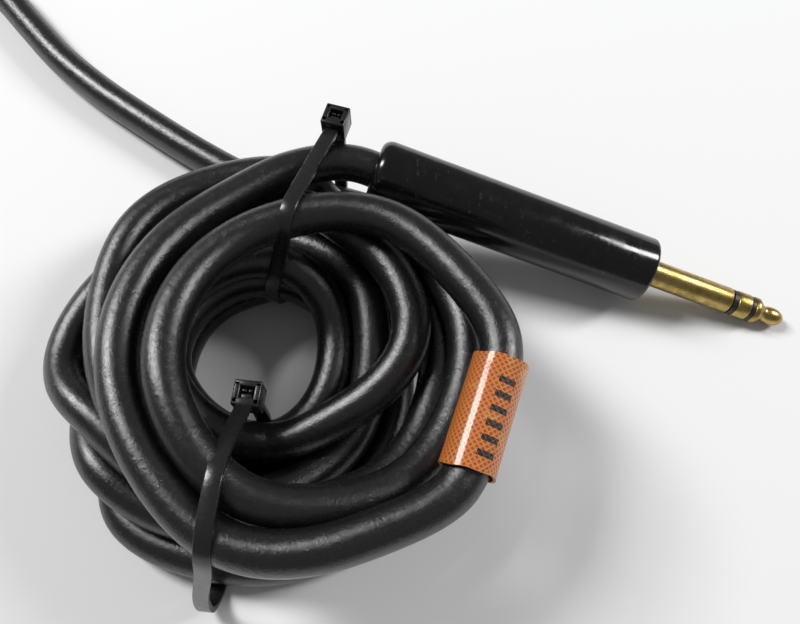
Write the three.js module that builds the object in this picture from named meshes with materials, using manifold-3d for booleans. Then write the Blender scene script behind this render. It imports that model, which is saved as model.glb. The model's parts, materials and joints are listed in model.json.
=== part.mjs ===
// A headset microphone's cord set: a rubber cord wound in a tied coil, with a three-conductor
// plug on its inner end and a strain-relief bushing with three spade lugs on its far end.
// Units are millimetres, +Z is up and z = 0 is the surface that the coil lies on.
import * as THREE from "three";
import { mergeVertices } from "three/addons/utils/BufferGeometryUtils.js";
import Module from "manifold-3d";

const wasm = await Module();
wasm.setup();

// ---------------------------------------------------------------- driving dimensions
const GAP = 0.3; // between pieces that touch
const FIT = 0.1; // radial clearance of pieces nested inside each other
const CORD_DIAMETER = 7.0;
const CORD_RADIUS = CORD_DIAMETER / 2;

// The coil's centre in the part's frame, whose origin is the bottom centre of the whole part.
const COIL_CENTRE = [28.35, -49.12];

// Plug: its local X axis runs from the shell to the tip, and x = 0 is the shell's front face.
const SHELL_REAR = [18.0, 35.1, 19.3]; // centre of the shell's rear face, from the coil's centre
const PLUG_HEADING = THREE.MathUtils.degToRad(-16.2);
const PLUG_SLOPE = THREE.MathUtils.degToRad(11.75); // downwards, towards the tip
const SHELL_LENGTH = 57;
const SHELL_RADIUS = 6.5;
const SHELL_BORE_RADIUS = 5.4;
const SHELL_REAR_WALL = 3.5;
const SHELL_REAR_ROUNDING = 3;
const SHELL_TRAVEL = 6; // how far the unscrewed shell slides back before it meets the tie
const CORD_HOLE_RADIUS = 4.2;
const FINGER_RADIUS = 5.23 / 2; // the standard 0.206 inch microphone plug
const FINGER_LENGTH = 30.2;
const SLEEVE_END = 18.3;
const RING_START = 19.4;
const RING_END = 22.3;
const TIP_START = 23.2;
const NECK_START = 25.6;
const NECK_RADIUS = 1.55;
const BALL_START = 26.1;
const BALL_RADIUS = 1.8;
const JACKET_END = -27; // where the cord's jacket stops inside the shell
const LEAD_BEHIND_SHELL = 14; // straight stretch of cord between the shell and the coil

// Coil: the outer shape of nine tied turns.
const COIL_INNER_RADIUS = 11;
const COIL_OUTER_RADIUS = 42;
const COIL_HEIGHT = 34;

// Marking sleeve on the uppermost turn: the ends of its axis, from the coil's centre.
const LABEL_LOW_END = new THREE.Vector3(32.9, -24.3, 29.1);
const LABEL_HIGH_END = new THREE.Vector3(38.8, -7.3, 30.0);
const LABEL_OUTER_RADIUS = 4.5;
const LABEL_INNER_RADIUS = 4.0;
const LABEL_CORE_RADIUS = 3.5;

// Cable ties: a flat strap with a square head.
const STRAP_WIDTH = 2.7;
const STRAP_THICKNESS = 1.1;
const TIE_HEAD = [4.4, 4.8, 4.6]; // along the strap, up, across

// Tail of the cord from the coil to the far end, by hand, from the coil's centre.
const TAIL_HEIGHT = 3.6;
const BUSHING_HEIGHT = 5.7;
const TAIL_ROUTE = [
  [-4.5, 39.8, TAIL_HEIGHT],
  [-11.0, 43.7, TAIL_HEIGHT],
  [-18.6, 48.2, TAIL_HEIGHT],
  [-26.6, 53.4, TAIL_HEIGHT],
  [-35.6, 59.8, TAIL_HEIGHT],
  [-44.6, 66.4, TAIL_HEIGHT],
  [-55.4, 75.8, TAIL_HEIGHT],
  [-64.6, 86.0, TAIL_HEIGHT],
  [-73.0, 95.6, TAIL_HEIGHT],
  [-83.0, 104.6, TAIL_HEIGHT],
  [-92.0, 109.9, 4.3],
  [-100.0, 113.2, BUSHING_HEIGHT],
  [-106.6, 114.8, BUSHING_HEIGHT],
  [-113.3, 116.4, BUSHING_HEIGHT],
  [-120.0, 118.0, BUSHING_HEIGHT],
];

const TURNED_SIDES = 24;
const WIRE_SIDES = 8;
const CORD_SIDES = 10;

// ---------------------------------------------------------------- materials
const material = (color, roughness, metalness = 0) =>
  new THREE.MeshStandardMaterial({ color, roughness, metalness });

const MATERIALS = {
  rubber: material(0x121212, 0.45),
  phenolic: material(0x0a0a0a, 0.18),
  brass: material(0xa8843c, 0.38, 1),
  insulation: material(0x17120e, 0.5),
  steel: material(0x9a9a98, 0.35, 1),
  nylon: material(0x101010, 0.4),
  marking: material(0xc05a1e, 0.45),
  white_wire: material(0xd8d4c8, 0.5),
  red_wire: material(0xa01c14, 0.5),
  black_wire: material(0x141414, 0.5),
  string: material(0xb9a67c, 0.85),
};

// ---------------------------------------------------------------- geometry helpers
// A turned piece about its own X axis, from [x, radius] pairs that run forwards (rising x)
// along the outside and back along the bore, when it has one.
function turned(profile, sides = TURNED_SIDES) {
  const points = profile.map(([x, radius]) => new THREE.Vector2(radius, x));
  return new THREE.LatheGeometry(points, sides).rotateZ(-Math.PI / 2);
}

// A plain ring about X between two x values.
function washer(low, high, inner, outer, sides = TURNED_SIDES) {
  const profile = [[low, inner], [low, outer], [high, outer], [high, inner], [low, inner]];
  return turned(profile, sides);
}

function regularShape(radius, sides) {
  const corners = [];
  for (let i = 0; i < sides; i += 1) {
    const turn = ((i + 0.5) * 2 * Math.PI) / sides;
    corners.push(new THREE.Vector2(radius * Math.cos(turn), radius * Math.sin(turn)));
  }
  return new THREE.Shape(corners);
}

// A round tube along a smooth curve through the given points.
function tube(points, radius, steps, sides) {
  const path = new THREE.CatmullRomCurve3(points.map((p) => new THREE.Vector3(...p)));
  const options = { steps, bevelEnabled: false, extrudePath: path };
  return new THREE.ExtrudeGeometry(regularShape(radius, sides), options);
}

function box(sizeX, sizeY, sizeZ, x, y, z) {
  return new THREE.BoxGeometry(sizeX, sizeY, sizeZ).translate(x, y, z);
}

function toSolid(geometry) {
  const bare = geometry.clone();
  bare.deleteAttribute("normal");
  bare.deleteAttribute("uv");
  const merged = mergeVertices(bare, 1e-4);
  const vertProperties = new Float32Array(merged.attributes.position.array);
  const triVerts = new Uint32Array(merged.index.array);
  return new wasm.Manifold(new wasm.Mesh({ numProp: 3, vertProperties, triVerts }));
}

function fromSolid(solid) {
  const { vertProperties, triVerts } = solid.getMesh();
  const geometry = new THREE.BufferGeometry();
  geometry.setAttribute("position", new THREE.BufferAttribute(vertProperties, 3));
  geometry.setIndex(new THREE.BufferAttribute(triVerts, 1));
  geometry.computeVertexNormals();
  return geometry;
}

// Joins the first list of geometries and takes the second list away.
function combined(joined, cut = []) {
  let solid = toSolid(joined[0]);
  for (const geometry of joined.slice(1)) {
    solid = solid.add(toSolid(geometry));
  }
  for (const geometry of cut) {
    solid = solid.subtract(toSolid(geometry));
  }
  return fromSolid(solid);
}

function addMesh(parent, name, geometry, look) {
  const mesh = new THREE.Mesh(geometry, look);
  mesh.name = name;
  parent.add(mesh);
}

// ---------------------------------------------------------------- frames
const cordSet = new THREE.Group();
cordSet.position.set(COIL_CENTRE[0], COIL_CENTRE[1], 0);

const plug = new THREE.Group();
plug.rotation.set(0, PLUG_SLOPE, PLUG_HEADING, "ZYX");
plug.updateMatrix();
const plugAxis = new THREE.Vector3(1, 0, 0).applyEuler(plug.rotation);
plug.position.set(...SHELL_REAR).addScaledVector(plugAxis, SHELL_LENGTH);
plug.updateMatrix();
cordSet.add(plug);

// ---------------------------------------------------------------- plug
// The shell: a plain tube, open in front, with a rounded rear end and a hole for the cord.
function plugShell() {
  const rear = -SHELL_LENGTH;
  const wallFront = rear + SHELL_REAR_WALL;
  const rimRadius = SHELL_RADIUS - SHELL_REAR_ROUNDING * 0.7;
  const profile = [[wallFront, CORD_HOLE_RADIUS], [rear, CORD_HOLE_RADIUS]];
  const arcSteps = 5;
  for (let i = 0; i <= arcSteps; i += 1) {
    const turn = ((i / arcSteps) * Math.PI) / 2;
    const x = rear + SHELL_REAR_ROUNDING * (1 - Math.cos(turn));
    profile.push([x, rimRadius + (SHELL_RADIUS - rimRadius) * Math.sin(turn)]);
  }
  const chamfer = 0.4;
  profile.push([-chamfer, SHELL_RADIUS], [0, SHELL_RADIUS - chamfer]);
  profile.push([0, SHELL_BORE_RADIUS], [wallFront, SHELL_BORE_RADIUS]);
  profile.push([wallFront, CORD_HOLE_RADIUS]);
  return turned(profile, 32);
}

// Radii of the tubes nested inside the finger, from the outside in.
const SLEEVE_BORE = 2.1;
const OUTER_TUBE = { outer: SLEEVE_BORE - FIT, inner: 1.7 };
const RING_TUBE = { outer: OUTER_TUBE.inner - FIT, inner: 1.3 };
const INNER_TUBE = { outer: RING_TUBE.inner - FIT, inner: 0.9 };
const ROD_RADIUS = INNER_TUBE.inner - FIT;
const COLLAR_RADIUS = FINGER_RADIUS - 0.12; // the black insulating rings sit just below the brass
const CHAMFER = 0.35;

// The stack behind the threaded base, from front to back: [front x, rear x] of each disc.
const BASE_REAR = -9.0;
const SLEEVE_DISC = [-9.1, -9.9];
const WASHER_1 = [-10.0, -11.1];
const RING_DISC = [-11.2, -12.0];
const WASHER_2 = [-12.2, -13.2];
const TIP_DISC = [-13.4, -14.2];
const TIP_NUT = [-14.4, -15.8];
const TAB_END = -19.5;
const TAB_RADIUS = [3.7, 4.4];
const TAB_WIDTH = 3.2;
const SCREW_X = -17;

// The finger's long brass sleeve with the flange and thread that the shell screws onto.
function sleeveContact() {
  const flangeRadius = SHELL_BORE_RADIUS - GAP;
  const profile = [[BASE_REAR, SLEEVE_BORE], [BASE_REAR, flangeRadius - CHAMFER]];
  const threadStart = -8.4;
  const threadPitch = 1.2;
  const threadTurns = 5;
  for (let i = 0; i < threadTurns; i += 1) {
    const root = threadStart + i * threadPitch;
    profile.push([root, flangeRadius - CHAMFER], [root + threadPitch / 2, flangeRadius]);
  }
  profile.push([-2.4, flangeRadius - CHAMFER], [-2.1, flangeRadius], [-0.4, flangeRadius]);
  profile.push([-0.4, FINGER_RADIUS], [SLEEVE_END - CHAMFER, FINGER_RADIUS]);
  profile.push([SLEEVE_END, FINGER_RADIUS - CHAMFER], [SLEEVE_END, SLEEVE_BORE]);
  profile.push([BASE_REAR, SLEEVE_BORE]);
  return turned(profile);
}

// An insulating tube with the collar that shows between two brass contacts.
function insulatingTube({ outer, inner }, rear, collarStart, collarEnd) {
  return turned([
    [rear, inner],
    [rear, outer],
    [collarStart, outer],
    [collarStart, COLLAR_RADIUS],
    [collarEnd, COLLAR_RADIUS],
    [collarEnd, inner],
    [rear, inner],
  ]);
}

function ringContact() {
  const rear = RING_DISC[1] - FIT;
  return turned([
    [rear, RING_TUBE.inner],
    [rear, RING_TUBE.outer],
    [RING_START, RING_TUBE.outer],
    [RING_START, FINGER_RADIUS - CHAMFER / 2],
    [RING_START + CHAMFER / 2, FINGER_RADIUS],
    [RING_END - CHAMFER / 2, FINGER_RADIUS],
    [RING_END, FINGER_RADIUS - CHAMFER / 2],
    [RING_END, RING_TUBE.inner],
    [rear, RING_TUBE.inner],
  ]);
}

// The tip contact: a rod through the whole plug with a cone, a neck and a long round ball.
function tipContact() {
  const rear = TIP_NUT[1] - FIT;
  const coneStart = TIP_START + 1.0;
  const profile = [[rear, 0], [rear, ROD_RADIUS], [TIP_START, ROD_RADIUS]];
  profile.push([TIP_START, FINGER_RADIUS - CHAMFER / 2]);
  profile.push([TIP_START + CHAMFER / 2, FINGER_RADIUS], [coneStart, FINGER_RADIUS]);
  profile.push([NECK_START, NECK_RADIUS], [BALL_START, NECK_RADIUS]);
  const ballLength = FINGER_LENGTH - BALL_START;
  const startTurn = Math.acos(NECK_RADIUS / BALL_RADIUS);
  const ballSteps = 8;
  for (let i = 1; i < ballSteps; i += 1) {
    const turn = -startTurn + ((Math.PI / 2 + startTurn) * i) / ballSteps;
    const along = (Math.sin(turn) + Math.sin(startTurn)) / (1 + Math.sin(startTurn));
    profile.push([BALL_START + ballLength * along, BALL_RADIUS * Math.cos(turn)]);
  }
  profile.push([FINGER_LENGTH, 0]);
  return turned(profile);
}

// A terminal: a disc on its own contact, an arm, and a tab behind it with a screw hole.
function terminal([front, rear], discInner, discOuter) {
  const disc = washer(rear, front, discInner, discOuter);
  const thickness = front - rear;
  const armLow = discOuter - 0.5;
  const armHeight = TAB_RADIUS[1] - armLow;
  const armX = (front + rear) / 2;
  const arm = box(thickness, TAB_WIDTH, armHeight, armX, 0, armLow + armHeight / 2);
  const tabLength = front - TAB_END;
  const tabHeight = TAB_RADIUS[1] - TAB_RADIUS[0];
  const tabMiddle = (TAB_RADIUS[0] + TAB_RADIUS[1]) / 2;
  const tab = box(tabLength, TAB_WIDTH, tabHeight, (front + TAB_END) / 2, 0, tabMiddle);
  const hole = new THREE.CylinderGeometry(0.95, 0.95, 3, 12).rotateX(Math.PI / 2);
  hole.translate(SCREW_X, 0, tabMiddle);
  return combined([disc, arm, tab], [hole]);
}

// A cheese-head screw that stands on a tab and points at the plug's axis.
function terminalScrew() {
  const head = new THREE.CylinderGeometry(1.3, 1.3, 0.5, 16).rotateX(Math.PI / 2);
  head.translate(SCREW_X, 0, TAB_RADIUS[1] + FIT + 0.25);
  const shank = new THREE.CylinderGeometry(0.75, 0.75, 2.0, 12).rotateX(Math.PI / 2);
  shank.translate(SCREW_X, 0, TAB_RADIUS[1] - 0.7);
  const slot = box(3, 0.4, 0.3, SCREW_X, 0, TAB_RADIUS[1] + FIT + 0.5);
  return combined([head, shank], [slot]);
}

// The brass band that grips the cord's jacket inside the shell, split along one side.
function cordClamp() {
  const inner = CORD_RADIUS + FIT;
  const band = washer(-33, -29, inner, inner + 0.7);
  const split = box(5, 1.2, 3, -31, 0, -inner - 0.4);
  return combined([band], [split]);
}

// One insulated conductor from the jacket's end to its tab.
function conductor() {
  const jacket = JACKET_END + GAP;
  const points = [[jacket, 0, 1.7], [-25, 0, 1.9], [-22.5, 0, 3.1], [TAB_END - GAP, 0, 4.0]];
  return tube(points, 0.95, 8, WIRE_SIDES);
}

function buildPlug() {
  addMesh(plug, "plug_shell", plugShell(), MATERIALS.phenolic);
  addMesh(plug, "sleeve_contact", sleeveContact(), MATERIALS.brass);
  addMesh(plug, "ring_contact", ringContact(), MATERIALS.brass);
  addMesh(plug, "tip_contact", tipContact(), MATERIALS.brass);
  const ringCollar = [SLEEVE_END + FIT, RING_START - FIT];
  const tipCollar = [RING_END + FIT, TIP_START - FIT];
  const outerTube = insulatingTube(OUTER_TUBE, WASHER_1[1] + FIT, ...ringCollar);
  const innerTube = insulatingTube(INNER_TUBE, WASHER_2[1], ...tipCollar);
  addMesh(plug, "ring_insulator", outerTube, MATERIALS.insulation);
  addMesh(plug, "tip_insulator", innerTube, MATERIALS.insulation);
  const washer1 = washer(WASHER_1[1], WASHER_1[0], OUTER_TUBE.outer + FIT, 3.6);
  const washer2 = washer(WASHER_2[1], WASHER_2[0], INNER_TUBE.outer + FIT, 3.0);
  addMesh(plug, "ring_washer", washer1, MATERIALS.insulation);
  addMesh(plug, "tip_washer", washer2, MATERIALS.insulation);
  addMesh(plug, "tip_nut", washer(TIP_NUT[1], TIP_NUT[0], 1.1, 2.0, 6), MATERIALS.brass);
  addMesh(plug, "cord_clamp", cordClamp(), MATERIALS.brass);
  const terminals = [
    ["sleeve", SLEEVE_DISC, OUTER_TUBE.outer + FIT, 4.2, MATERIALS.black_wire],
    ["ring", RING_DISC, RING_TUBE.outer + FIT, 3.3, MATERIALS.red_wire],
    ["tip", TIP_DISC, INNER_TUBE.inner, 3.0, MATERIALS.white_wire],
  ];
  terminals.forEach(([name, disc, inner, outer, wireLook], i) => {
    const side = new THREE.Group();
    side.rotation.x = (i * 2 * Math.PI) / terminals.length;
    plug.add(side);
    addMesh(side, `${name}_terminal`, terminal(disc, inner, outer), MATERIALS.brass);
    addMesh(side, `${name}_screw`, terminalScrew(), MATERIALS.steel);
    addMesh(side, `${name}_conductor`, conductor(), wireLook);
  });
}

// ---------------------------------------------------------------- cord between plug and coil
const leadStart = JACKET_END;
const leadEnd = -SHELL_LENGTH - LEAD_BEHIND_SHELL;

function cordLead() {
  const length = leadStart - leadEnd;
  const steps = 5;
  const points = [];
  for (let i = 0; i <= steps; i += 1) {
    points.push([leadEnd + (length * i) / steps, 0, 0]);
  }
  return tube(points, CORD_RADIUS, steps, CORD_SIDES);
}

// ---------------------------------------------------------------- cable ties
// The strap's middle line for each tie, in an upright plane: [distance from the head's centre
// across the coil, height]. It leaves the head over the top and comes back up into its slot.
const TIES = {
  plug_tie: {
    head: [10.6, 42.2],
    inner: [-1.4, 16.7],
    headAt: [-1.2, 24.8],
    route: [
      [0.4, 25.4], [4.8, 26.0], [13.0, 29.4], [21.8, 32.2], [26.6, 30.2], [28.8, 23.0],
      [29.0, 12.0], [28.4, 3.6], [26.0, 0.9], [20.0, 0.75], [8.0, 0.75], [1.8, 1.1],
      [0.0, 4.0], [-0.3, 12.0], [-0.9, 22.8],
    ],
  },
  coil_tie: {
    head: [-2.0, -10.6],
    inner: [-8.8, -41.5],
    headAt: [-0.2, 21.2],
    route: [
      [0.8, 22.0], [5.4, 25.6], [10.4, 30.4], [15.4, 32.8], [21.6, 33.2], [26.2, 29.8],
      [28.8, 22.4], [30.4, 15.4], [31.8, 8.4], [32.4, 3.0], [30.2, 0.9], [24.0, 0.75],
      [8.0, 0.75], [1.8, 1.2], [0.2, 5.0], [0.0, 13.0], [-0.2, 19.4],
    ],
  },
};

// Sweeps a flat rectangular section along a tie's route. The local X axis runs across the
// coil, the local Y axis is upwards, and inner and outer are distances from the middle line.
function sweptBand(route, inner, outer, width) {
  const path = new THREE.CatmullRomCurve3(route.map(([u, z]) => new THREE.Vector3(u, z, 0)));
  const section = new THREE.Shape();
  section.moveTo(-width / 2, -inner);
  section.lineTo(width / 2, -inner);
  section.lineTo(width / 2, outer);
  section.lineTo(-width / 2, outer);
  section.closePath();
  const options = { steps: 44, bevelEnabled: false, extrudePath: path };
  return new THREE.ExtrudeGeometry(section, options);
}

// Turns a geometry from a tie's own plane into the coil's frame.
function placeInTiePlane(geometry, { head, inner }) {
  const across = Math.atan2(inner[1] - head[1], inner[0] - head[0]);
  geometry.rotateX(Math.PI / 2);
  geometry.rotateZ(across);
  return geometry.translate(head[0], head[1], 0);
}

function tieStrap(tie) {
  const half = STRAP_THICKNESS / 2;
  return placeInTiePlane(sweptBand(tie.route, half, half, STRAP_WIDTH), tie);
}

function tieHead(tie, clearance = 0) {
  const sizes = TIE_HEAD.map((side) => side + 2 * clearance);
  return placeInTiePlane(box(...sizes, ...tie.headAt, 0), tie);
}

// The room that a tie needs in the coil: a groove round it and a pocket for its head.
function tieGroove(tie) {
  const inner = STRAP_THICKNESS / 2 + GAP;
  const reach = 14;
  return placeInTiePlane(sweptBand(tie.route, inner, reach, STRAP_WIDTH + 2 * GAP), tie);
}

// ---------------------------------------------------------------- coil
// A cylinder from one point to another, all in the coil's frame.
function cylinderBetween(from, to, radius, sides = 20) {
  const length = from.distanceTo(to);
  const geometry = new THREE.CylinderGeometry(radius, radius, length, sides);
  const direction = to.clone().sub(from).normalize();
  const turn = new THREE.Quaternion().setFromUnitVectors(new THREE.Vector3(0, 1, 0), direction);
  const middle = from.clone().add(to).multiplyScalar(0.5);
  return geometry.applyQuaternion(turn).translate(middle.x, middle.y, middle.z);
}

// A point on the plug's axis, in the coil's frame.
const onPlugAxis = (x) => plug.position.clone().addScaledVector(plugAxis, x);

function coilRing() {
  const inner = COIL_INNER_RADIUS;
  const outer = COIL_OUTER_RADIUS;
  const profile = [
    [0, inner],
    [0, outer - 3],
    [3, outer - 1],
    [8, outer],
    [26, outer],
    [31, outer - 1],
    [COIL_HEIGHT - 0.8, outer - 4],
    [COIL_HEIGHT, outer - 8],
    [COIL_HEIGHT, inner + 6],
    [COIL_HEIGHT - 5, inner + 1],
    [COIL_HEIGHT - 14, inner],
    [0, inner],
  ];
  const points = profile.map(([z, radius]) => new THREE.Vector2(radius, z));
  return new THREE.LatheGeometry(points, 48).rotateX(Math.PI / 2);
}

function cordCoil() {
  const labelAxis = LABEL_HIGH_END.clone().sub(LABEL_LOW_END).normalize();
  const labelRoom = [
    LABEL_LOW_END.clone().addScaledVector(labelAxis, -GAP),
    LABEL_HIGH_END.clone().addScaledVector(labelAxis, GAP),
  ];
  const coreEnds = [
    LABEL_LOW_END.clone().addScaledVector(labelAxis, -2),
    LABEL_HIGH_END.clone().addScaledVector(labelAxis, 2),
  ];
  const shellRoom = [onPlugAxis(-SHELL_LENGTH - SHELL_TRAVEL - 0.5), onPlugAxis(-20)];
  const leadRoom = [onPlugAxis(leadEnd - GAP), onPlugAxis(-SHELL_LENGTH)];
  const tailStart = new THREE.Vector3(...TAIL_ROUTE[0]);
  const tailNext = new THREE.Vector3(...TAIL_ROUTE[1]);
  const tailAxis = tailNext.clone().sub(tailStart).normalize();
  const tailRoom = [tailStart.clone().addScaledVector(tailAxis, -GAP), tailNext];
  const ring = combined([coilRing()], [
    cylinderBetween(...shellRoom, SHELL_RADIUS + 0.5),
    cylinderBetween(...leadRoom, CORD_RADIUS + 0.5),
    cylinderBetween(...tailRoom, CORD_RADIUS + 0.6),
    cylinderBetween(...labelRoom, LABEL_OUTER_RADIUS + 0.5),
  ]);
  const core = cylinderBetween(...coreEnds, LABEL_CORE_RADIUS);
  const grooves = Object.values(TIES).flatMap((tie) => [tieGroove(tie), tieHead(tie, GAP)]);
  return combined([ring, core], grooves);
}

function labelSleeve() {
  const length = LABEL_LOW_END.distanceTo(LABEL_HIGH_END);
  const geometry = washer(0, length, LABEL_INNER_RADIUS, LABEL_OUTER_RADIUS, 32);
  const axis = LABEL_HIGH_END.clone().sub(LABEL_LOW_END).normalize();
  const turn = new THREE.Quaternion().setFromUnitVectors(new THREE.Vector3(1, 0, 0), axis);
  geometry.applyQuaternion(turn);
  return geometry.translate(LABEL_LOW_END.x, LABEL_LOW_END.y, LABEL_LOW_END.z);
}

function buildCoil() {
  addMesh(plug, "cord_lead", cordLead(), MATERIALS.rubber);
  addMesh(cordSet, "cord_coil", cordCoil(), MATERIALS.rubber);
  addMesh(cordSet, "label_sleeve", labelSleeve(), MATERIALS.marking);
  for (const [name, tie] of Object.entries(TIES)) {
    addMesh(cordSet, name, combined([tieStrap(tie), tieHead(tie)]), MATERIALS.nylon);
  }
  const tailSteps = 22;
  const tail = tube(TAIL_ROUTE, CORD_RADIUS, tailSteps, CORD_SIDES);
  addMesh(cordSet, "cord_tail", tail, MATERIALS.rubber);
}

// ---------------------------------------------------------------- far end
// Its local X axis goes on from the tail, and x = 0 is where the jacket ends.
const LEAD_WIRE_RADIUS = 0.8;
const LEAD_CIRCLE = 1.75;
const LUG_SPACING = 8.5;
const LUG_START = 22.6;
const LUG_HEIGHT = -3.9; // the barrels' middle, from the tail's axis
const farEnd = new THREE.Group();
{
  const [before, last] = TAIL_ROUTE.slice(-2);
  farEnd.position.set(...last);
  farEnd.rotation.z = Math.atan2(last[1] - before[1], last[0] - before[0]);
  cordSet.add(farEnd);
}

function bushing() {
  const cordBore = CORD_RADIUS + GAP;
  const wireBore = 3.0;
  return turned([
    [-16, cordBore],
    [-16, 4.4],
    [-12, 4.6],
    [0, 5.1],
    [1, 5.5],
    [7.4, 5.5],
    [8, 4.9],
    [8, wireBore],
    [GAP, wireBore],
    [GAP, cordBore],
    [-16, cordBore],
  ]);
}

// A crimped spade lug: a barrel, closed in front, and a flat fork with a 3.7 mm slot.
function spadeLug() {
  const barrelEnd = 27.2;
  const barrel = turned([
    [LUG_START, 1.1],
    [LUG_START, 1.7],
    [barrelEnd, 1.7],
    [barrelEnd, 0],
    [25.4, 0],
    [25.4, 1.1],
    [LUG_START, 1.1],
  ], 16);
  const forkLength = 9;
  const forkHeight = -1.2;
  const fork = box(forkLength, 6.4, 0.8, 26 + forkLength / 2, 0, forkHeight);
  const slot = box(6, 3.7, 2, 36, 0, forkHeight - 0.2);
  const slotEnd = new THREE.CylinderGeometry(1.85, 1.85, 2, 16).rotateX(Math.PI / 2);
  slotEnd.translate(33, 0, forkHeight - 0.2);
  const trimmed = box(4, 8, 2.6, barrelEnd + 2, 0, 0.6);
  return combined([barrel, fork], [slot, slotEnd, trimmed]);
}

// A wire from the jacket's end through the bushing and down to its own place on the table.
function farWire(turn, side, endX, endHeight, radius) {
  const y = LEAD_CIRCLE * Math.cos(turn);
  const z = LEAD_CIRCLE * Math.sin(turn);
  const points = [
    [2 * GAP, y, z],
    [4.5, y, z],
    [8.5, y + side * 0.05, z],
    [13.0, y + (side - y) * 0.4, z + (endHeight - z) * 0.4],
    [18.5, side * 0.94, endHeight],
    [endX, side, endHeight],
  ];
  return tube(points, radius, 14, WIRE_SIDES);
}

function eyelet() {
  const inner = 1.6;
  const outer = 2.9;
  const ring = washer(-0.5, 0.5, inner, outer, 20).rotateY(Math.PI / 2);
  return ring.translate(LUG_START + 3.6, -1.75 * LUG_SPACING, -4.9);
}

function buildFarEnd() {
  addMesh(farEnd, "end_bushing", bushing(), MATERIALS.rubber);
  const looks = [MATERIALS.black_wire, MATERIALS.red_wire, MATERIALS.white_wire];
  looks.forEach((look, i) => {
    const number = i + 1;
    const side = (1 - i) * LUG_SPACING;
    const turn = (i * Math.PI) / 2;
    const wire = farWire(turn, side, LUG_START + 2.3, LUG_HEIGHT, LEAD_WIRE_RADIUS);
    addMesh(farEnd, `end_wire_${number}`, wire, look);
    const lug = spadeLug().translate(0, side, LUG_HEIGHT);
    addMesh(farEnd, `spade_lug_${number}`, lug, MATERIALS.steel);
  });
  const stayTurn = (3 * Math.PI) / 2;
  const stay = farWire(stayTurn, -1.75 * LUG_SPACING, LUG_START + 0.3, -4.8, 0.7);
  addMesh(farEnd, "stay_cord", stay, MATERIALS.string);
  addMesh(farEnd, "stay_eyelet", eyelet(), MATERIALS.brass);
}

buildPlug();
buildCoil();
buildFarEnd();

export default cordSet;
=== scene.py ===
import json
from math import acos, atan2, cos, pi, radians, sin

import bmesh
import bpy
import numpy as np
from mathutils import Matrix, Vector


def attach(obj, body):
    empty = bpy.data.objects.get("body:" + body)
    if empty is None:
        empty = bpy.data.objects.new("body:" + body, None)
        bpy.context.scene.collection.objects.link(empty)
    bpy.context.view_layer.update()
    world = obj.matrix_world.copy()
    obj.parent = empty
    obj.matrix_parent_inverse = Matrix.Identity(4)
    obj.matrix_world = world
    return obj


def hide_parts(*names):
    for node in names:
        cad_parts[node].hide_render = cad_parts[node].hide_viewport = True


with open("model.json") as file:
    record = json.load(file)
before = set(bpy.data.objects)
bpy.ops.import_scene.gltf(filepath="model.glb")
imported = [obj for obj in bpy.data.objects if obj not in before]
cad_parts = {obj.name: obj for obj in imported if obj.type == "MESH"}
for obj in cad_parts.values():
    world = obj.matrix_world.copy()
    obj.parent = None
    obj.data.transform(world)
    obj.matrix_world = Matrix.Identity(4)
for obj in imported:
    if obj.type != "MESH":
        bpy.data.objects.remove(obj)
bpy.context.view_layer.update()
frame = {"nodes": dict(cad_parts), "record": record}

MM = 0.001
COIL_CENTRE = np.array([28.35, -49.12, 0.0])
CORD_RADIUS = 3.5
TURNED_SIDES = 96

SHELL_LENGTH = 57.0
SHELL_RADIUS, SHELL_BORE = 6.5, 5.4
CORD_HOLE, REAR_WALL = 4.2, 3.5
LABEL_OUTER, LABEL_INNER = 4.45, 4.0

# ------------------------------------------------------------------ camera
cam_data = bpy.data.cameras.new("camera")
cam_data.sensor_width = 36
cam_data.lens = 33.3
camera = bpy.data.objects.new("camera", cam_data)
bpy.context.scene.collection.objects.link(camera)
camera.location = (0.05135, -0.09412, 0.140)
camera.rotation_euler = (radians(22.77), 0, 0)
cam_data.clip_start = 0.01
bpy.context.scene.camera = camera


# ------------------------------------------------------------------ materials
def new_material(name, color, roughness, metallic=0.0, specular=0.5, coat=0.0, coat_roughness=0.1):
    mat = bpy.data.materials.new(name)
    mat.use_nodes = True
    bsdf = mat.node_tree.nodes["Principled BSDF"]
    bsdf.inputs["Base Color"].default_value = (*color, 1)
    bsdf.inputs["Roughness"].default_value = roughness
    bsdf.inputs["Metallic"].default_value = metallic
    bsdf.inputs["Specular IOR Level"].default_value = specular
    bsdf.inputs["Coat Weight"].default_value = coat
    bsdf.inputs["Coat Roughness"].default_value = coat_roughness
    return mat


def node(mat, kind, **values):
    made = mat.node_tree.nodes.new(kind)
    for key, value in values.items():
        setattr(made, key, value)
    return made


def link(mat, source, target):
    mat.node_tree.links.new(source, target)


def noise(mat, scale, detail=3.0, roughness=0.6, stretch=None):
    """A noise factor in object coordinates; scale is in features per metre."""
    coords = node(mat, "ShaderNodeTexCoord")
    texture = node(mat, "ShaderNodeTexNoise")
    texture.inputs["Scale"].default_value = scale
    texture.inputs["Detail"].default_value = detail
    texture.inputs["Roughness"].default_value = roughness
    source = coords.outputs["Object"]
    if stretch:
        mapping = node(mat, "ShaderNodeMapping")
        mapping.inputs["Scale"].default_value = stretch
        link(mat, source, mapping.inputs["Vector"])
        source = mapping.outputs["Vector"]
    link(mat, source, texture.inputs["Vector"])
    return texture.outputs["Fac"]


def math(mat, operation, a, b=None):
    made = node(mat, "ShaderNodeMath", operation=operation)
    for i, value in enumerate((a, b)):
        if value is None:
            continue
        if isinstance(value, (int, float)):
            made.inputs[i].default_value = value
        else:
            link(mat, value, made.inputs[i])
    return made.outputs[0]


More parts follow.
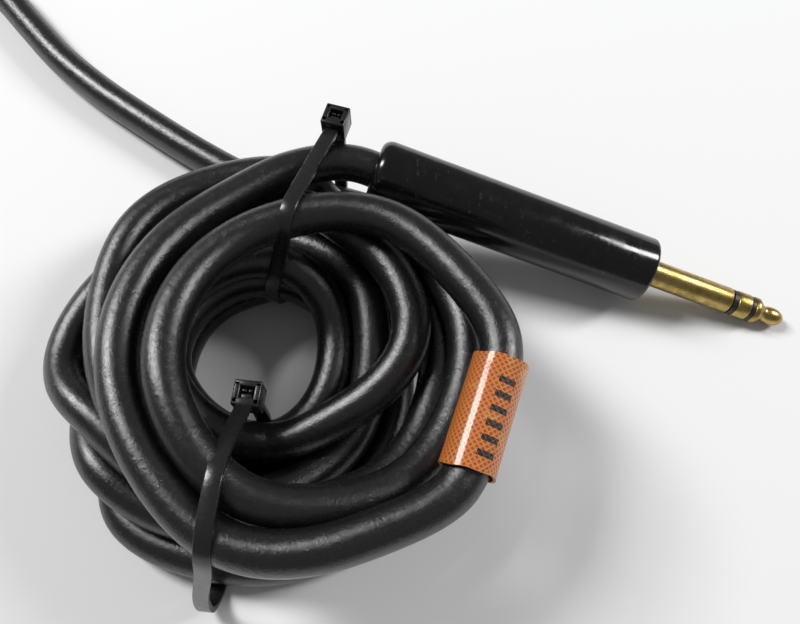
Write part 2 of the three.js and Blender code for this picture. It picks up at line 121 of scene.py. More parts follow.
def ramp(mat, factor, stops):
    made = node(mat, "ShaderNodeValToRGB")
    elements = made.color_ramp.elements
    for i, (place, color) in enumerate(stops):
        element = elements[i] if i < 2 else elements.new(place)
        element.position = place
        element.color = (*color, 1) if len(color) == 3 else color
    link(mat, factor, made.inputs["Fac"])
    return made.outputs["Color"]


def grey_ramp(mat, factor, stops):
    return ramp(mat, factor, [(place, (v, v, v)) for place, v in stops])


def mix_color(mat, factor, a, b):
    made = node(mat, "ShaderNodeMix", data_type="RGBA")
    link(mat, factor, made.inputs[0])
    for value, target in ((a, made.inputs[6]), (b, made.inputs[7])):
        if isinstance(value, tuple):
            target.default_value = (*value, 1)
        else:
            link(mat, value, target)
    return made.outputs[2]


def socket(mat, name):
    return mat.node_tree.nodes["Principled BSDF"].inputs[name]


def add_bump(mat, height, distance, strength=1.0, before=None):
    """Distance is in metres."""
    bump = node(mat, "ShaderNodeBump")
    bump.inputs["Strength"].default_value = strength
    bump.inputs["Distance"].default_value = distance
    link(mat, height, bump.inputs["Height"])
    if before:
        link(mat, before, bump.inputs["Normal"])
    link(mat, bump.outputs["Normal"], socket(mat, "Normal"))
    return bump.outputs["Normal"]


def rubber_material():
    mat = new_material("cord_rubber", (0.007, 0.007, 0.0075), 0.26, specular=0.8)
    grain = noise(mat, 2600, detail=5, roughness=0.65)
    broad = noise(mat, 700, detail=3)
    link(mat, grey_ramp(mat, broad, [(0.3, 0.21), (0.7, 0.29)]), socket(mat, "Roughness"))
    colour = ramp(mat, grain, [(0.35, (0.004, 0.004, 0.0045)), (0.75, (0.013, 0.013, 0.013))])
    link(mat, colour, socket(mat, "Base Color"))
    coarse = add_bump(mat, broad, 0.00007)
    add_bump(mat, grain, 0.00007, before=coarse)
    return mat


def phenolic_material():
    black, scuff = (0.004, 0.004, 0.0045), (0.045, 0.045, 0.04)
    mat = new_material("shell_phenolic", black, 0.12, specular=0.5)
    scuffs = noise(mat, 900, detail=6, roughness=0.75, stretch=(1.0, 0.35, 1.0))
    scuffed = grey_ramp(mat, scuffs, [(0.60, 0.0), (0.70, 1.0)])
    link(mat, mix_color(mat, scuffed, black, scuff), socket(mat, "Base Color"))
    wear = noise(mat, 300, detail=5)
    link(mat, grey_ramp(mat, wear, [(0.35, 0.10), (0.72, 0.27)]), socket(mat, "Roughness"))
    add_bump(mat, wear, 0.00004)
    return mat


def brass_material():
    mat = new_material("aged_brass", (0.55, 0.42, 0.16), 0.34, metallic=1.0)
    patina = noise(mat, 520, detail=7, roughness=0.75)
    colour = ramp(
        mat,
        patina,
        [(0.32, (0.20, 0.145, 0.045)), (0.52, (0.43, 0.31, 0.10)), (0.8, (0.66, 0.49, 0.19))],
    )
    link(mat, colour, socket(mat, "Base Color"))
    link(mat, grey_ramp(mat, patina, [(0.3, 0.40), (0.7, 0.24)]), socket(mat, "Roughness"))
    fine = noise(mat, 2600, detail=4)
    add_bump(mat, fine, 0.00003)
    return mat


def steel_material():
    mat = new_material("tinned_steel", (0.56, 0.56, 0.54), 0.34, metallic=1.0)
    tarnish = noise(mat, 500, detail=4)
    link(mat, grey_ramp(mat, tarnish, [(0.3, 0.27), (0.75, 0.48)]), socket(mat, "Roughness"))
    return mat


def plastic_material(name, color, roughness):
    mat = new_material(name, color, roughness)
    grain = noise(mat, 1500, detail=3)
    low, high = roughness * 0.85, min(1.0, roughness * 1.15)
    link(mat, grey_ramp(mat, grain, [(0.3, low), (0.7, high)]), socket(mat, "Roughness"))
    add_bump(mat, grain, 0.00002)
    return mat


def string_material():
    mat = new_material("waxed_string", (0.42, 0.33, 0.19), 0.8)
    twist = noise(mat, 1800, detail=2, stretch=(1.0, 0.3, 1.0))
    add_bump(mat, twist, 0.0002)
    return mat


BRAID_AROUND = 28.3  # millimetres round the sleeve
BRAID_PITCH = 1.0
BARS_START, BARS_END, BAR_PITCH = 2.2, 15.6, 2.3
BAR_SHARE = 0.42  # of each pitch
BAR_HALF_WIDTH = 0.052  # in turns round the sleeve


def braid_material():
    """Varnished orange braid; the UV map is (turn round the sleeve 0..1, millimetres along it / 100)."""
    mat = new_material("orange_braid", (0.5, 0.16, 0.03), 0.42, coat=0.6, coat_roughness=0.13)
    uv = node(mat, "ShaderNodeUVMap", uv_map="around_along")
    parts = node(mat, "ShaderNodeSeparateXYZ")
    link(mat, uv.outputs["UV"], parts.inputs[0])
    around = math(mat, "MULTIPLY", parts.outputs[0], BRAID_AROUND)
    along = math(mat, "MULTIPLY", parts.outputs[1], 100.0)  # mm along it
    waves = []
    for sign in (1.0, -1.0):
        slant = math(mat, "ADD", along, math(mat, "MULTIPLY", around, sign))
        waves.append(math(mat, "SINE", math(mat, "MULTIPLY", slant, 2 * pi / BRAID_PITCH)))
    weave = math(mat, "MAXIMUM", waves[0], waves[1])
    weave = math(mat, "ADD", math(mat, "MULTIPLY", weave, 0.5), 0.5)
    threads = ramp(
        mat, weave, [(0.0, (0.30, 0.065, 0.008)), (0.55, (0.52, 0.125, 0.014)), (1.0, (0.62, 0.19, 0.035))]
    )
    worn = grey_ramp(mat, noise(mat, 330, detail=5), [(0.56, 0.0), (0.72, 0.8)])
    aged = mix_color(mat, worn, threads, (0.62, 0.33, 0.08))
    # Plain dark bars, one after another along the upper side.
    from_first = math(mat, "SUBTRACT", along, BARS_START)
    step = math(mat, "FRACT", math(mat, "DIVIDE", from_first, BAR_PITCH))
    bar = math(mat, "LESS_THAN", step, BAR_SHARE)
    past_start = math(mat, "GREATER_THAN", along, BARS_START)
    before_end = math(mat, "LESS_THAN", along, BARS_END)
    in_length = math(mat, "MULTIPLY", past_start, before_end)
    side = math(mat, "ABSOLUTE", math(mat, "SUBTRACT", parts.outputs[0], 0.5))
    in_width = math(mat, "LESS_THAN", side, BAR_HALF_WIDTH)
    ink = math(mat, "MULTIPLY", math(mat, "MULTIPLY", bar, in_length), in_width)
    ink = math(mat, "MULTIPLY", ink, grey_ramp(mat, noise(mat, 2200), [(0.3, 0.72), (0.5, 1.0)]))
    link(mat, mix_color(mat, ink, aged, (0.012, 0.008, 0.006)), socket(mat, "Base Color"))
    add_bump(mat, weave, 0.00016)
    return mat


MATERIALS = {
    "rubber": rubber_material(),
    "phenolic": phenolic_material(),
    "brass": brass_material(),
    "insulation": plastic_material("insulating_ring", (0.013, 0.011, 0.010), 0.45),
    "steel": steel_material(),
    "nylon": plastic_material("tie_nylon", (0.012, 0.012, 0.013), 0.26),
    "marking": braid_material(),
    "wire_black": plastic_material("black_wire", (0.014, 0.014, 0.014), 0.4),
    "wire_red": plastic_material("red_wire", (0.38, 0.03, 0.02), 0.4),
    "wire_white": plastic_material("white_wire", (0.66, 0.64, 0.58), 0.4),
    "string": string_material(),
}

# The CAD nodes that stay in sight take their slot's look.
for row in frame["record"]["subparts"]:
    cad = frame["nodes"][row["node"]]
    cad.data.materials.clear()
    cad.data.materials.append(MATERIALS[row["material_slot"]])


# ------------------------------------------------------------------ making meshes
def finish_piece(obj, body, slot, stands_for=()):
    obj.data.materials.append(MATERIALS[slot])
    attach(obj, body)
    if stands_for:
        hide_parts(*stands_for)
    return obj


def mesh_object(name, bm, sharp=38):
    bmesh.ops.recalc_face_normals(bm, faces=bm.faces)
    mesh = bpy.data.meshes.new(name)
    bm.to_mesh(mesh)
    bm.free()
    mesh.shade_smooth()
    mesh.set_sharp_from_angle(angle=radians(sharp))
    obj = bpy.data.objects.new(name, mesh)
    bpy.context.scene.collection.objects.link(obj)
    return obj


def lathe(name, profile, matrix, sides=TURNED_SIDES, closed=False, wobble=None):
    """Turns (x, radius) pairs about X. wobble(x, turn) may change a point's x and radius."""
    bm = bmesh.new()
    layer = bm.loops.layers.uv.new("around_along")
    rings = []
    for x, r in profile:
        ring = []
        for k in range(sides):
            turn = 2 * pi * k / sides
            px, pr = wobble(x, r, turn) if wobble else (x, r)
            ring.append(bm.verts.new(matrix @ Vector((px * MM, pr * MM * cos(turn), pr * MM * sin(turn)))))
        rings.append(ring)
    count = len(rings) if closed else len(rings) - 1
    for i in range(count):
        low, high = rings[i], rings[(i + 1) % len(rings)]
        for k in range(sides):
            nxt = (k + 1) % sides
            face = bm.faces.new((low[k], low[nxt], high[nxt], high[k]))
            spots = ((k, i), (k + 1, i), (k + 1, i + 1), (k, i + 1))
            for loop, (turn, row) in zip(face.loops, spots):
                loop[layer].uv = (turn / sides, profile[row % len(profile)][0] / 100)
    bmesh.ops.remove_doubles(bm, verts=bm.verts, dist=1e-7)
    return mesh_object(name, bm)


def tube_curve(name, points, radius, resolution=6):
    """One open round tube through points in metres."""
    data = bpy.data.curves.new(name, "CURVE")
    data.dimensions = "3D"
    data.bevel_depth = radius
    data.bevel_resolution = resolution
    data.use_fill_caps = True
    spline = data.splines.new("POLY")
    spline.points.add(len(points) - 1)
    for spot, p in zip(spline.points, points):
        spot.co = (*p, 1)
    spline.use_smooth = True
    obj = bpy.data.objects.new(name, data)
    bpy.context.scene.collection.objects.link(obj)
    return obj


def smooth_route(stations, steps=12):
    """Centripetal Catmull-Rom through the stations."""
    p = np.asarray(stations, float)
    q = np.vstack([2 * p[0] - p[1], p, 2 * p[-1] - p[-2]])
    out = []
    for i in range(1, len(q) - 2):
        c = q[i - 1 : i + 3]
        t = [0.0]
        for a in range(3):
            t.append(t[-1] + np.linalg.norm(c[a + 1] - c[a]) ** 0.5)
        for u in np.linspace(t[1], t[2], steps, endpoint=False):
            first = [((t[k + 1] - u) * c[k] + (u - t[k]) * c[k + 1]) / (t[k + 1] - t[k]) for k in range(3)]
            second = [
                ((t[k + 2] - u) * first[k] + (u - t[k]) * first[k + 1]) / (t[k + 2] - t[k])
                for k in range(2)
            ]
            out.append(((t[2] - u) * second[0] + (u - t[1]) * second[1]) / (t[2] - t[1]))
    out.append(q[-2])
    return np.array(out)


def resampled(points, step):
    reach = np.r_[0, np.cumsum(np.linalg.norm(np.diff(points, axis=0), axis=1))]
    places = np.linspace(0, reach[-1], int(round(reach[-1] / step)) + 1)
    return np.column_stack([np.interp(places, reach, points[:, k]) for k in range(3)])


def in_part(points):
    """Millimetres from the coil's centre to metres in the part's frame."""
    return (np.asarray(points, float) + COIL_CENTRE) * MM


# ------------------------------------------------------------------ frames of the plug and the sleeve
PLUG_HEADING, PLUG_SLOPE = radians(-16.2), radians(11.75)
SHELL_REAR = np.array([18.0, 35.1, 19.3])
PLUG_AXIS = np.array(
    [cos(PLUG_HEADING) * cos(PLUG_SLOPE), sin(PLUG_HEADING) * cos(PLUG_SLOPE), -sin(PLUG_SLOPE)]
)
SHELL_FRONT = SHELL_REAR + PLUG_AXIS * SHELL_LENGTH
PLUG = (
    Matrix.Translation(Vector(in_part([SHELL_FRONT])[0]))
    @ Matrix.Rotation(PLUG_HEADING, 4, "Z")
    @ Matrix.Rotation(PLUG_SLOPE, 4, "Y")
)

SLEEVE_LOW = np.array([32.9, -24.3, 29.1])
SLEEVE_HIGH = np.array([38.8, -7.3, 30.0])

# ------------------------------------------------------------------ the cord
# Each turn runs counter-clockwise seen from above, from the +Y side, an eighth of a turn
# apart: (distance from the coil's centre, height of the cord's middle).
TURNS = [
    [(32.6, 21.3), (24.6, 24.6), (22.9, 27), (25.8, 28), (35.4, 28), (40.6, 29), (37.7, 30), (28.3, 28)],
    [(18.6, 27.6), (14.3, 28.7), (13.9, 30), (17.8, 31.2), (28, 27.8), (34.4, 23), (34.7, 21), (32.5, 17.5)],
    [(38.6, 13.0), (37.2, 15.2), (29.0, 18.0), (26, 21), (28.3, 20.8), (31, 16.5), (30.0, 14), (31, 12)],
    [(33.0, 9.0), (35.6, 9.7), (39, 10.7), (29, 14.5), (25.5, 13), (20, 9.2), (17.4, 11.5), (20.8, 13)],
    [(24, 12), (27.4, 5), (34, 5.3), (34.2, 9.3), (30, 7), (26, 4.5), (22, 4), (23, 3.6)],
    [(18.3, 3.6), (19.6, 3.6), (20.5, 3.6), (21.5, 3.6), (21, 3.6), (18.5, 3.6), (14, 3.6), (16, 5.5)],
    [(16.4, 10.6), (18.3, 10.6), (19.5, 10.6), (16.5, 8.3), (14.3, 6), (12, 9.5), (11.2, 10), (14.1, 10.8)],
    [(17, 17), (18.5, 17.6), (19, 18), (17.3, 15), (16.4, 13), (17.9, 15.8), (25, 20.4), (25.7, 20.3)],
    [(29.7, 15.3), (27.5, 12), (27.3, 5), (38, 4), (35.4, 4.5), (36, 4.5), (37.6, 4), (40.2, 3.7)],
]
AFTER_PLUG = (35.6, 81.0, 20.9)  # distance, direction in degrees, height
UNDER_SLEEVE = [(40.9, 323.5, 29.1), (39.5, 349.4, 30.0)]
INTO_TAIL = (40.2, 90.0, 3.6)
TAIL = [
    (-5.5, 41.0, 3.6),
    (-11.3, 43.9, 3.6),
    (-18.6, 48.2, 3.6),
    (-26.6, 53.4, 3.6),
    (-35.6, 59.8, 3.6),
    (-44.6, 66.4, 3.6),
    (-55.4, 75.8, 3.6),
    (-64.6, 86.0, 3.6),
    (-73.0, 95.6, 3.6),
    (-83.0, 104.6, 3.6),
    (-92.0, 109.9, 4.3),
    (-100.0, 113.2, 5.7),
    (-106.6, 114.8, 5.7),
    (-113.3, 116.4, 5.7),
    (-120.0, 118.0, 5.7),
]
STRAIGHT_IN_SHELL = 27.5  # the cord's start, ahead of the shell's rear end
TAIL_FREE = 100.0  # the tail's last stretch, which nothing pushes
ROUTE_STEP = 2.6  # between the points that settle
FINE_STEP = 1.0  # between the points of the finished cord
TOUCH_GAP = 0.05
NEAR_ALONG = 2.6  # diameters along the cord within which its own points don't push
SHELL_CLEAR = 10.4  # from the shell's axis to the middle of a passing strand


def round_centre(distance, degrees, height):
    turn = radians(degrees)
    return np.array([distance * cos(turn), distance * sin(turn), height])


def cord_stations():
    stations = [SHELL_REAR + PLUG_AXIS * x for x in (STRAIGHT_IN_SHELL, 15, 4, -4)]
    stations.append(round_centre(*AFTER_PLUG))
    for number, turn in enumerate(TURNS):
        for eighth, (distance, height) in enumerate(turn):
            stations.append(round_centre(distance, 90 + 45 * eighth, height))
            if number == 0 and eighth == 5:
                stations += [round_centre(*spot) for spot in UNDER_SLEEVE]
    stations.append(round_centre(*INTO_TAIL))
    return stations + [np.array(p) for p in TAIL]


def settled(points, rounds=420):
    """Pushes overlapping strands apart, as a tied coil lies, and keeps the route smooth."""
    touching = 2 * CORD_RADIUS + TOUCH_GAP
    p, start = points.copy(), points.copy()
    index = np.arange(len(p))
    spacing = np.linalg.norm(np.diff(p, axis=0), axis=1).mean()
    apart = np.abs(index[:, None] - index[None]) > int(np.ceil(NEAR_ALONG * touching / spacing))
    along = index * spacing
    free = np.ones(len(p))
    free[along < STRAIGHT_IN_SHELL + 5] = 0
    free[along > along[-1] - TAIL_FREE] = 0
    held = [np.argmin(np.linalg.norm(p - end, axis=1)) for end in (SLEEVE_LOW, SLEEVE_HIGH)]
    free[min(held) - 2 : max(held) + 3] = 0
    free = free[:, None]
    past_plug = along > STRAIGHT_IN_SHELL + 40
    shell_start = SHELL_REAR - PLUG_AXIS * 6.5
    for n in range(rounds):
        pull = 0.03 * max(0.2, 1 - n / rounds)
        bend = np.zeros_like(p)
        bend[2:-2] = (-p[:-4] + 4 * p[1:-3] - 6 * p[2:-2] + 4 * p[3:-1] - p[4:]) / 16
        p += (0.6 * bend + pull * (start - p)) * free
        from_axis = p - shell_start
        reach = np.clip(from_axis @ PLUG_AXIS, 0, 70)
        from_axis -= reach[:, None] * PLUG_AXIS
        distance = np.linalg.norm(from_axis, axis=1) + 1e-9
        near = past_plug & (distance < SHELL_CLEAR) & (free[:, 0] > 0)
        p[near] += (from_axis / distance[:, None] * (SHELL_CLEAR - distance)[:, None] * 0.5)[near]
        for _ in range(2):
            gap = p[:, None] - p[None]
            distance = np.linalg.norm(gap, axis=2) + 1e-9
            i, j = np.nonzero(apart & (distance < touching))
            push = (touching - distance[i, j])[:, None] * gap[i, j] / distance[i, j][:, None] * 0.5
            total, count = np.zeros_like(p), np.zeros(len(p))
            np.add.at(total, i, push)
            np.add.at(count, i, 1)
            p += total / np.maximum(count, 1)[:, None] ** 0.6 * free * 0.6
            p[:, 2] = np.maximum(p[:, 2], CORD_RADIUS)
    return p


cord_line = settled(resampled(smooth_route(cord_stations()), ROUTE_STEP))
fine_line = resampled(smooth_route(cord_line, 3), FINE_STEP)
cord = tube_curve("cord", in_part(fine_line), CORD_RADIUS * MM, resolution=8)
finish_piece(cord, "cord_set", "rubber", ("cord_lead", "cord_coil", "cord_tail"))


# ------------------------------------------------------------------ the plug
rear = -SHELL_LENGTH
shell_profile = [(rear + REAR_WALL, CORD_HOLE), (rear + 0.25, CORD_HOLE), (rear, 4.45)]
for k in range(11):
    turn = pi / 2 * k / 10
    shell_profile.append((rear + 2.2 * (1 - cos(turn)), 4.6 + 1.9 * sin(turn)))
shell_profile += [(-20, SHELL_RADIUS), (-0.7, SHELL_RADIUS), (-0.35, 6.42), (-0.08, 6.2), (0, 5.9)]
shell_profile += [(0, 5.55), (-0.15, SHELL_BORE), (-30, SHELL_BORE), (rear + REAR_WALL, SHELL_BORE)]
shell = lathe("shell_turned", shell_profile, PLUG, closed=True)
finish_piece(shell, "shell", "phenolic", ("plug_shell",))

FINGER = 2.615
sleeve_profile = [(-9.0, 2.1), (-9.0, 4.75)]
for k in range(5):
    root = -8.4 + 1.2 * k
    sleeve_profile += [(root, 4.75), (root + 0.45, 5.06), (root + 0.6, 5.1), (root + 0.75, 5.06)]
sleeve_profile += [(-2.4, 4.75), (-2.1, 5.1), (-0.6, 5.1), (-0.42, 4.95), (-0.4, 4.0), (-0.4, FINGER + 0.12)]
sleeve_profile += [(-0.3, FINGER), (17.85, FINGER), (18.1, FINGER - 0.1), (18.3, FINGER - 0.35), (18.3, 2.1)]
finger_sleeve = lathe("finger_sleeve", sleeve_profile, PLUG, closed=True)
finish_piece(finger_sleeve, "cord_set", "brass", ("sleeve_contact",))

COLLAR = FINGER - 0.12
ring_collar = lathe(
    "finger_collar_1",
    [(-11.0, 1.7), (-11.0, 2.0), (18.4, 2.0), (18.4, COLLAR), (19.3, COLLAR), (19.3, 1.7)],
    PLUG,
    closed=True,
)
finish_piece(ring_collar, "cord_set", "insulation", ("ring_insulator",))
tip_collar = lathe(
    "finger_collar_2",
    [(-13.2, 0.9), (-13.2, 1.2), (22.4, 1.2), (22.4, COLLAR), (23.1, COLLAR), (23.1, 0.9)],
    PLUG,
    closed=True,
)
finish_piece(tip_collar, "cord_set", "insulation", ("tip_insulator",))

ring_profile = [(-12.1, 1.3), (-12.1, 1.6), (19.4, 1.6), (19.4, FINGER - 0.2), (19.5, FINGER - 0.05)]
ring_profile += [(19.65, FINGER), (22.05, FINGER), (22.2, FINGER - 0.05), (22.3, FINGER - 0.2), (22.3, 1.3)]
finger_ring = lathe("finger_ring", ring_profile, PLUG, closed=True)
finish_piece(finger_ring, "cord_set", "brass", ("ring_contact",))

BALL_START, BALL_END, NECK, BALL = 26.1, 30.2, 1.55, 1.8
tip_profile = [(-15.9, 0), (-15.9, 0.8), (23.2, 0.8), (23.2, FINGER - 0.2), (23.3, FINGER - 0.05)]
tip_profile += [(23.45, FINGER), (24.1, FINGER), (24.25, FINGER - 0.08), (25.4, NECK + 0.12)]
tip_profile += [(25.6, NECK), (25.95, NECK), (26.1, NECK + 0.02)]
waist = acos(NECK / BALL)
for k in range(1, 24):
    turn = -waist + (pi / 2 + waist) * k / 24
    along = (sin(turn) + sin(waist)) / (1 + sin(waist))
    tip_profile.append((BALL_START + (BALL_END - BALL_START) * along, BALL * cos(turn)))
tip_profile.append((BALL_END, 0))
finger_tip = lathe("finger_tip", tip_profile, PLUG)
finish_piece(finger_tip, "cord_set", "brass", ("tip_contact",))

# ------------------------------------------------------------------ the marking sleeve
sleeve_axis = SLEEVE_HIGH - SLEEVE_LOW
sleeve_length = float(np.linalg.norm(sleeve_axis))
sleeve_axis = Vector(sleeve_axis / sleeve_length)
up = (Vector((0, 0, 1)) - sleeve_axis * sleeve_axis.z).normalized()
# The UV seam is below and the middle of the map above, tilted a little outwards.
down = Matrix.Rotation(radians(24), 3, sleeve_axis) @ -up
third = sleeve_axis.cross(down)
SLEEVE = Matrix.Translation(Vector(in_part([SLEEVE_LOW])[0])) @ Matrix(
    (sleeve_axis, down, third)
).transposed().to_4x4()


def limp_ends(x, r, turn):
    """The braid's ends are cut a little unevenly and flare slightly."""
    from_end = min(x, sleeve_length - x)
    flare = 0.10 * max(0.0, 1 - from_end / 1.5)
    cut = 0.16 * sin(2 * turn + 0.6) + 0.09 * sin(5 * turn + 1.3)
    return x + (cut if from_end < 0.5 else 0.0), r + flare * (0.6 + 0.4 * sin(3 * turn))


outside = [(sleeve_length * k / 40, LABEL_OUTER) for k in range(41)]
inside = [(sleeve_length * (1 - k / 12), LABEL_INNER) for k in range(13)]
label = lathe("braided_sleeve", outside + inside, SLEEVE, closed=True, wobble=limp_ends)
finish_piece(label, "label", "marking", ("label_sleeve",))


# ------------------------------------------------------------------ the ties
STRAP = (2.7, 1.1)  # width, thickness
TIE_REACH = (-6, 38)  # across, within which a tie takes in the strands that it crosses
# head and inner are two places in a tie's upright plane, seen from above. head_at is the head's
# (distance across, height). The strap also goes round the slack circles (across, height, radius).
# lean is how far the far side of the loop slants along the cord.
TIES = {
    "plug_tie": {
        "head": (10.6, 41.8),
        "inner": (2.9, 15.6),
        "head_at": (-1.0, 24.2),
        "slack": [],
        "lean": -3.6,
    },
    "coil_tie": {
        "head": (-2.1, -10.6),
        "inner": (-4.5, -32.4),
        "head_at": (-0.2, 21.2),
        "slack": [(30.6, 4.0, 2.7)],
        "lean": -4.2,
    },
}


def crossings(origin, across):
    """Where the cord passes through a tie's upright plane, as (distance across, height)."""
    normal = np.array([-across[1], across[0]])
    side = (cord_line[:, :2] - origin) @ normal
    found = []
    for i in np.nonzero(np.sign(side[:-1]) != np.sign(side[1:]))[0]:
        share = side[i] / (side[i] - side[i + 1])
        spot = cord_line[i] * (1 - share) + cord_line[i + 1] * share
        found.append(((spot[:2] - origin) @ across, spot[2]))
    return found


def hull(points):
    """The convex hull, counter-clockwise."""
    ordered = sorted(map(tuple, points))

    def half(seq):
        out = []
        for p in seq:
            while len(out) > 1:
                (ax, ay), (bx, by) = out[-2], out[-1]
                if (bx - ax) * (p[1] - ay) - (by - ay) * (p[0] - ax) > 0:
                    break
                out.pop()
            out.append(p)
        return out[:-1]

    return np.array(half(ordered) + half(ordered[::-1]))


def strap_line(circles):
    """A closed line stretched round circles (across, height, radius), evenly spaced."""
    turns = np.linspace(0, 2 * pi, 48, endpoint=False)
    rim = [(u + r * cos(a), z + r * sin(a)) for u, z, r in circles for a in turns]
    loop = hull(rim)
    loop = np.vstack([loop, loop[:1]])
    reach = np.r_[0, np.cumsum(np.linalg.norm(np.diff(loop, axis=0), axis=1))]
    places = np.linspace(0, reach[-1], 160, endpoint=False)
    even = np.column_stack([np.interp(places, reach, loop[:, k]) for k in range(2)])
    for _ in range(16):
        even = 0.5 * even + 0.25 * (np.roll(even, 1, axis=0) + np.roll(even, -1, axis=0))
    return even


def strap_section():
    """Rounded rectangle: (offset outwards, offset across the strap)."""
    w, t, r = STRAP[0] / 2, STRAP[1] / 2, 0.22
    corners = [(t - r, w - r, 0), (-t + r, w - r, 90), (-t + r, -w + r, 180), (t - r, -w + r, 270)]
    return [
        (x + r * cos(radians(start + a)), y + r * sin(radians(start + a)))
        for x, y, start in corners
        for a in (0, 45, 90)
    ]


def box_into(bm, matrix, size, centre, bevel):
    made = bmesh.ops.create_cube(bm, size=1.0)["verts"]
    place = matrix @ Matrix.Translation(Vector(centre) * MM) @ Matrix.Diagonal((*[s * MM for s in size], 1))
    bmesh.ops.transform(bm, matrix=place, verts=made)
    edges = list({e for v in made for e in v.link_edges})
    bmesh.ops.bevel(bm, geom=edges, offset=bevel * MM, segments=3, affect="EDGES", profile=0.5)


def tie_head(bm, matrix, centre):
    """Four walls round a square opening, its floor, and the pawl's two prongs with a gap between."""
    along, height, across = 4.4, 4.8, 4.6
    wall = 1.1
    x, z = centre
    box_into(bm, matrix, (wall, across, height), (x - along / 2 + wall / 2, 0, z), 0.25)
    box_into(bm, matrix, (wall * 1.3, across, height), (x + along / 2 - wall * 0.65, 0, z), 0.25)
    for sign in (1, -1):
        box_into(bm, matrix, (along - 0.5, wall, height), (x, sign * (across / 2 - wall / 2), z), 0.25)
    box_into(bm, matrix, (along - 1, across - 1, height - 2.0), (x, 0, z - 0.9), 0.1)
    box_into(bm, matrix, (1.1, 1.9, 1.2), (x + 0.55, 0, z + 1.2), 0.18)
    for sign in (1, -1):
        box_into(bm, matrix, (0.5, 0.75, 1.5), (x - 0.55, sign * 0.55, z + 1.0), 0.12)


def build_tie(name, tie):
    origin, inner = np.array(tie["head"]), np.array(tie["inner"])
    across = (inner - origin) / np.linalg.norm(inner - origin)
    around = CORD_RADIUS + STRAP[1] / 2 + 0.05
    circles = [(u, z, around) for u, z in crossings(origin, across) if TIE_REACH[0] < u < TIE_REACH[1]]
    head_u, head_z = tie["head_at"]
    circles.append((head_u, head_z - 1.0, 0.6))
    circles += tie["slack"]
    line = strap_line(circles)
    line[:, 1] = np.maximum(line[:, 1], STRAP[1] / 2 + 0.1)
    matrix = Matrix.Translation(Vector(in_part([(*origin, 0)])[0])) @ Matrix.Rotation(
        atan2(across[1], across[0]), 4, "Z"
    )
    bm = bmesh.new()
    section, rings = strap_section(), []
    low, high = line.min(axis=0), line.max(axis=0)
    for i, (u, z) in enumerate(line):
        # The far side of the loop slants along the cord on its way down.
        drop = min(1.0, 1.25 * (high[1] - z) / (high[1] - low[1]))
        drop = drop * drop * (3 - 2 * drop)
        slant = tie["lean"] * drop * (u - low[0]) / (high[0] - low[0])
        tangent = line[(i + 1) % len(line)] - line[i - 1]
        tangent /= np.linalg.norm(tangent)
        outwards = np.array([tangent[1], -tangent[0]])
        ring = []
        for out, side in section:
            spot = np.array([u, z]) + outwards * out
            ring.append(bm.verts.new(matrix @ Vector((spot[0] * MM, (side + slant) * MM, spot[1] * MM))))
        rings.append(ring)
    for i, ring in enumerate(rings):
        following = rings[(i + 1) % len(rings)]
        for k in range(len(section)):
            nxt = (k + 1) % len(section)
            bm.faces.new((ring[k], ring[nxt], following[nxt], following[k]))
    tie_head(bm, matrix, tie["head_at"])
    obj = mesh_object(name + "_moulded", bm, sharp=45)
    finish_piece(obj, "cord_set", "nylon", (name,))


for tie_name, tie in TIES.items():
    build_tie(tie_name, tie)

# ------------------------------------------------------------------ the far end
TAIL_END = np.array(TAIL[-1])
tail_run = TAIL_END - np.array(TAIL[-2])
tail_heading = atan2(tail_run[1], tail_run[0])
FAR_END = Matrix.Translation(Vector(in_part([TAIL_END])[0])) @ Matrix.Rotation(tail_heading, 4, "Z")

bushing_profile = [(-16, 3.7), (-16, 4.15), (-15.8, 4.35)]
for k in range(5):
    step = -14.5 + 2.6 * k
    grown = 4.45 + 0.10 * k
    bushing_profile += [(step, grown), (step + 0.3, grown - 0.35)]
    bushing_profile += [(step + 0.9, grown - 0.35), (step + 1.2, grown + 0.05)]
bushing_profile += [(0, 5.1), (0.6, 5.45), (1.0, 5.5), (7.2, 5.5), (7.7, 5.3), (8, 4.9), (8, 3.2), (7.8, 3.0)]
bushing_profile += [(0.3, 3.0), (0.3, 3.7)]
end_bushing = lathe("bushing_moulded", bushing_profile, FAR_END, closed=True)
finish_piece(end_bushing, "cord_set", "rubber", ("end_bushing",))


def far_wire(name, slot, stands_for, turn, side, end_x, end_height, radius):
    y, z = 1.75 * cos(turn), 1.75 * sin(turn)
    stations = [
        (0.6, y, z),
        (4.5, y, z),
        (8.5, y + side * 0.05, z),
        (13.0, y + (side - y) * 0.4, z + (end_height - z) * 0.4),
        (18.5, side * 0.94, end_height),
        (end_x, side, end_height),
    ]
    line = [FAR_END @ (Vector(p) * MM) for p in smooth_route(stations, 8)]
    wire = tube_curve(name, line, radius * MM, resolution=5)
    return finish_piece(wire, "cord_set", slot, (stands_for,))


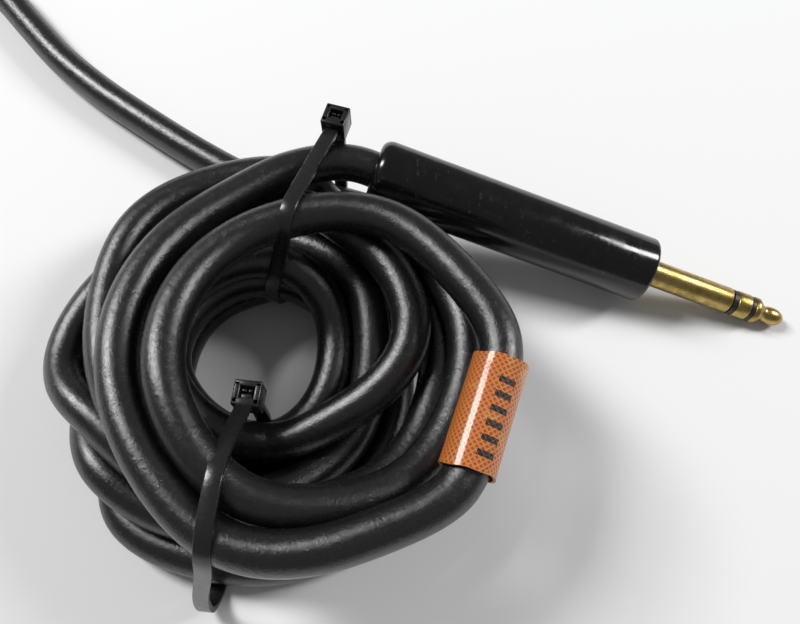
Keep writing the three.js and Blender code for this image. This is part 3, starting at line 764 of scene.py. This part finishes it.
LUG_SPACING = 8.5
STRING_SIDE = -1.75 * LUG_SPACING
far_pieces = [end_bushing]
for k, slot_name in enumerate(("wire_black", "wire_red", "wire_white")):
    wire_name, stands_for = f"lead_wire_{k + 1}", f"end_wire_{k + 1}"
    turn, side = k * pi / 2, (1 - k) * LUG_SPACING
    far_pieces.append(far_wire(wire_name, slot_name, stands_for, turn, side, 24.9, -3.9, 0.8))
far_pieces.append(far_wire("stay_string", "string", "stay_cord", 3 * pi / 2, STRING_SIDE, 22.9, -4.8, 0.7))
eyelet_spot = Vector((26.2, STRING_SIDE, -4.9)) * MM
eyelet_place = FAR_END @ Matrix.Translation(eyelet_spot) @ Matrix.Rotation(-pi / 2, 4, "Y")
eyelet_profile = [(-0.5, 1.75), (-0.35, 1.6), (0.35, 1.6), (0.5, 1.75)]
eyelet_profile += [(0.5, 2.75), (0.35, 2.9), (-0.35, 2.9), (-0.5, 2.75)]
stay_eyelet = lathe("eyelet_ring", eyelet_profile, eyelet_place, sides=48, closed=True)
finish_piece(stay_eyelet, "cord_set", "brass", ("stay_eyelet",))
far_pieces.append(stay_eyelet)
far_pieces += [frame["nodes"][f"spade_lug_{k}"] for k in (1, 2, 3)]

# ------------------------------------------------------------------ floor and light
FLOOR_HALF = 3.0  # metres
floor_shape = bmesh.new()
bmesh.ops.create_grid(floor_shape, x_segments=1, y_segments=1, size=FLOOR_HALF)
floor_mesh = bpy.data.meshes.new("floor")
floor_shape.to_mesh(floor_mesh)
floor_shape.free()
floor = bpy.data.objects.new("floor", floor_mesh)
bpy.context.scene.collection.objects.link(floor)
floor_mesh.materials.append(new_material("pale_floor", (0.87, 0.87, 0.872), 0.9, specular=0.1))

world = bpy.data.worlds.new("studio")
bpy.context.scene.world = world
bpy.context.scene.view_settings.view_transform = "Standard"
world.use_nodes = True
world.node_tree.nodes["Background"].inputs["Color"].default_value = (0.97, 0.98, 1.0, 1)
world.node_tree.nodes["Background"].inputs["Strength"].default_value = 0.19


def area_light(name, place, size, power, aim=(0.03, -0.04, 0.01)):
    data = bpy.data.lights.new(name, "AREA")
    data.shape = "RECTANGLE"
    data.size, data.size_y = size
    data.energy = power
    obj = bpy.data.objects.new(name, data)
    bpy.context.scene.collection.objects.link(obj)
    obj.location = place
    obj.rotation_euler = (Vector(aim) - Vector(place)).to_track_quat("-Z", "Y").to_euler()


area_light("left_soft", (-0.62, 0.36, 0.80), (0.25, 0.46), 9.9)
area_light("right_soft", (0.92, 0.20, 0.68), (0.22, 0.42), 6.9)
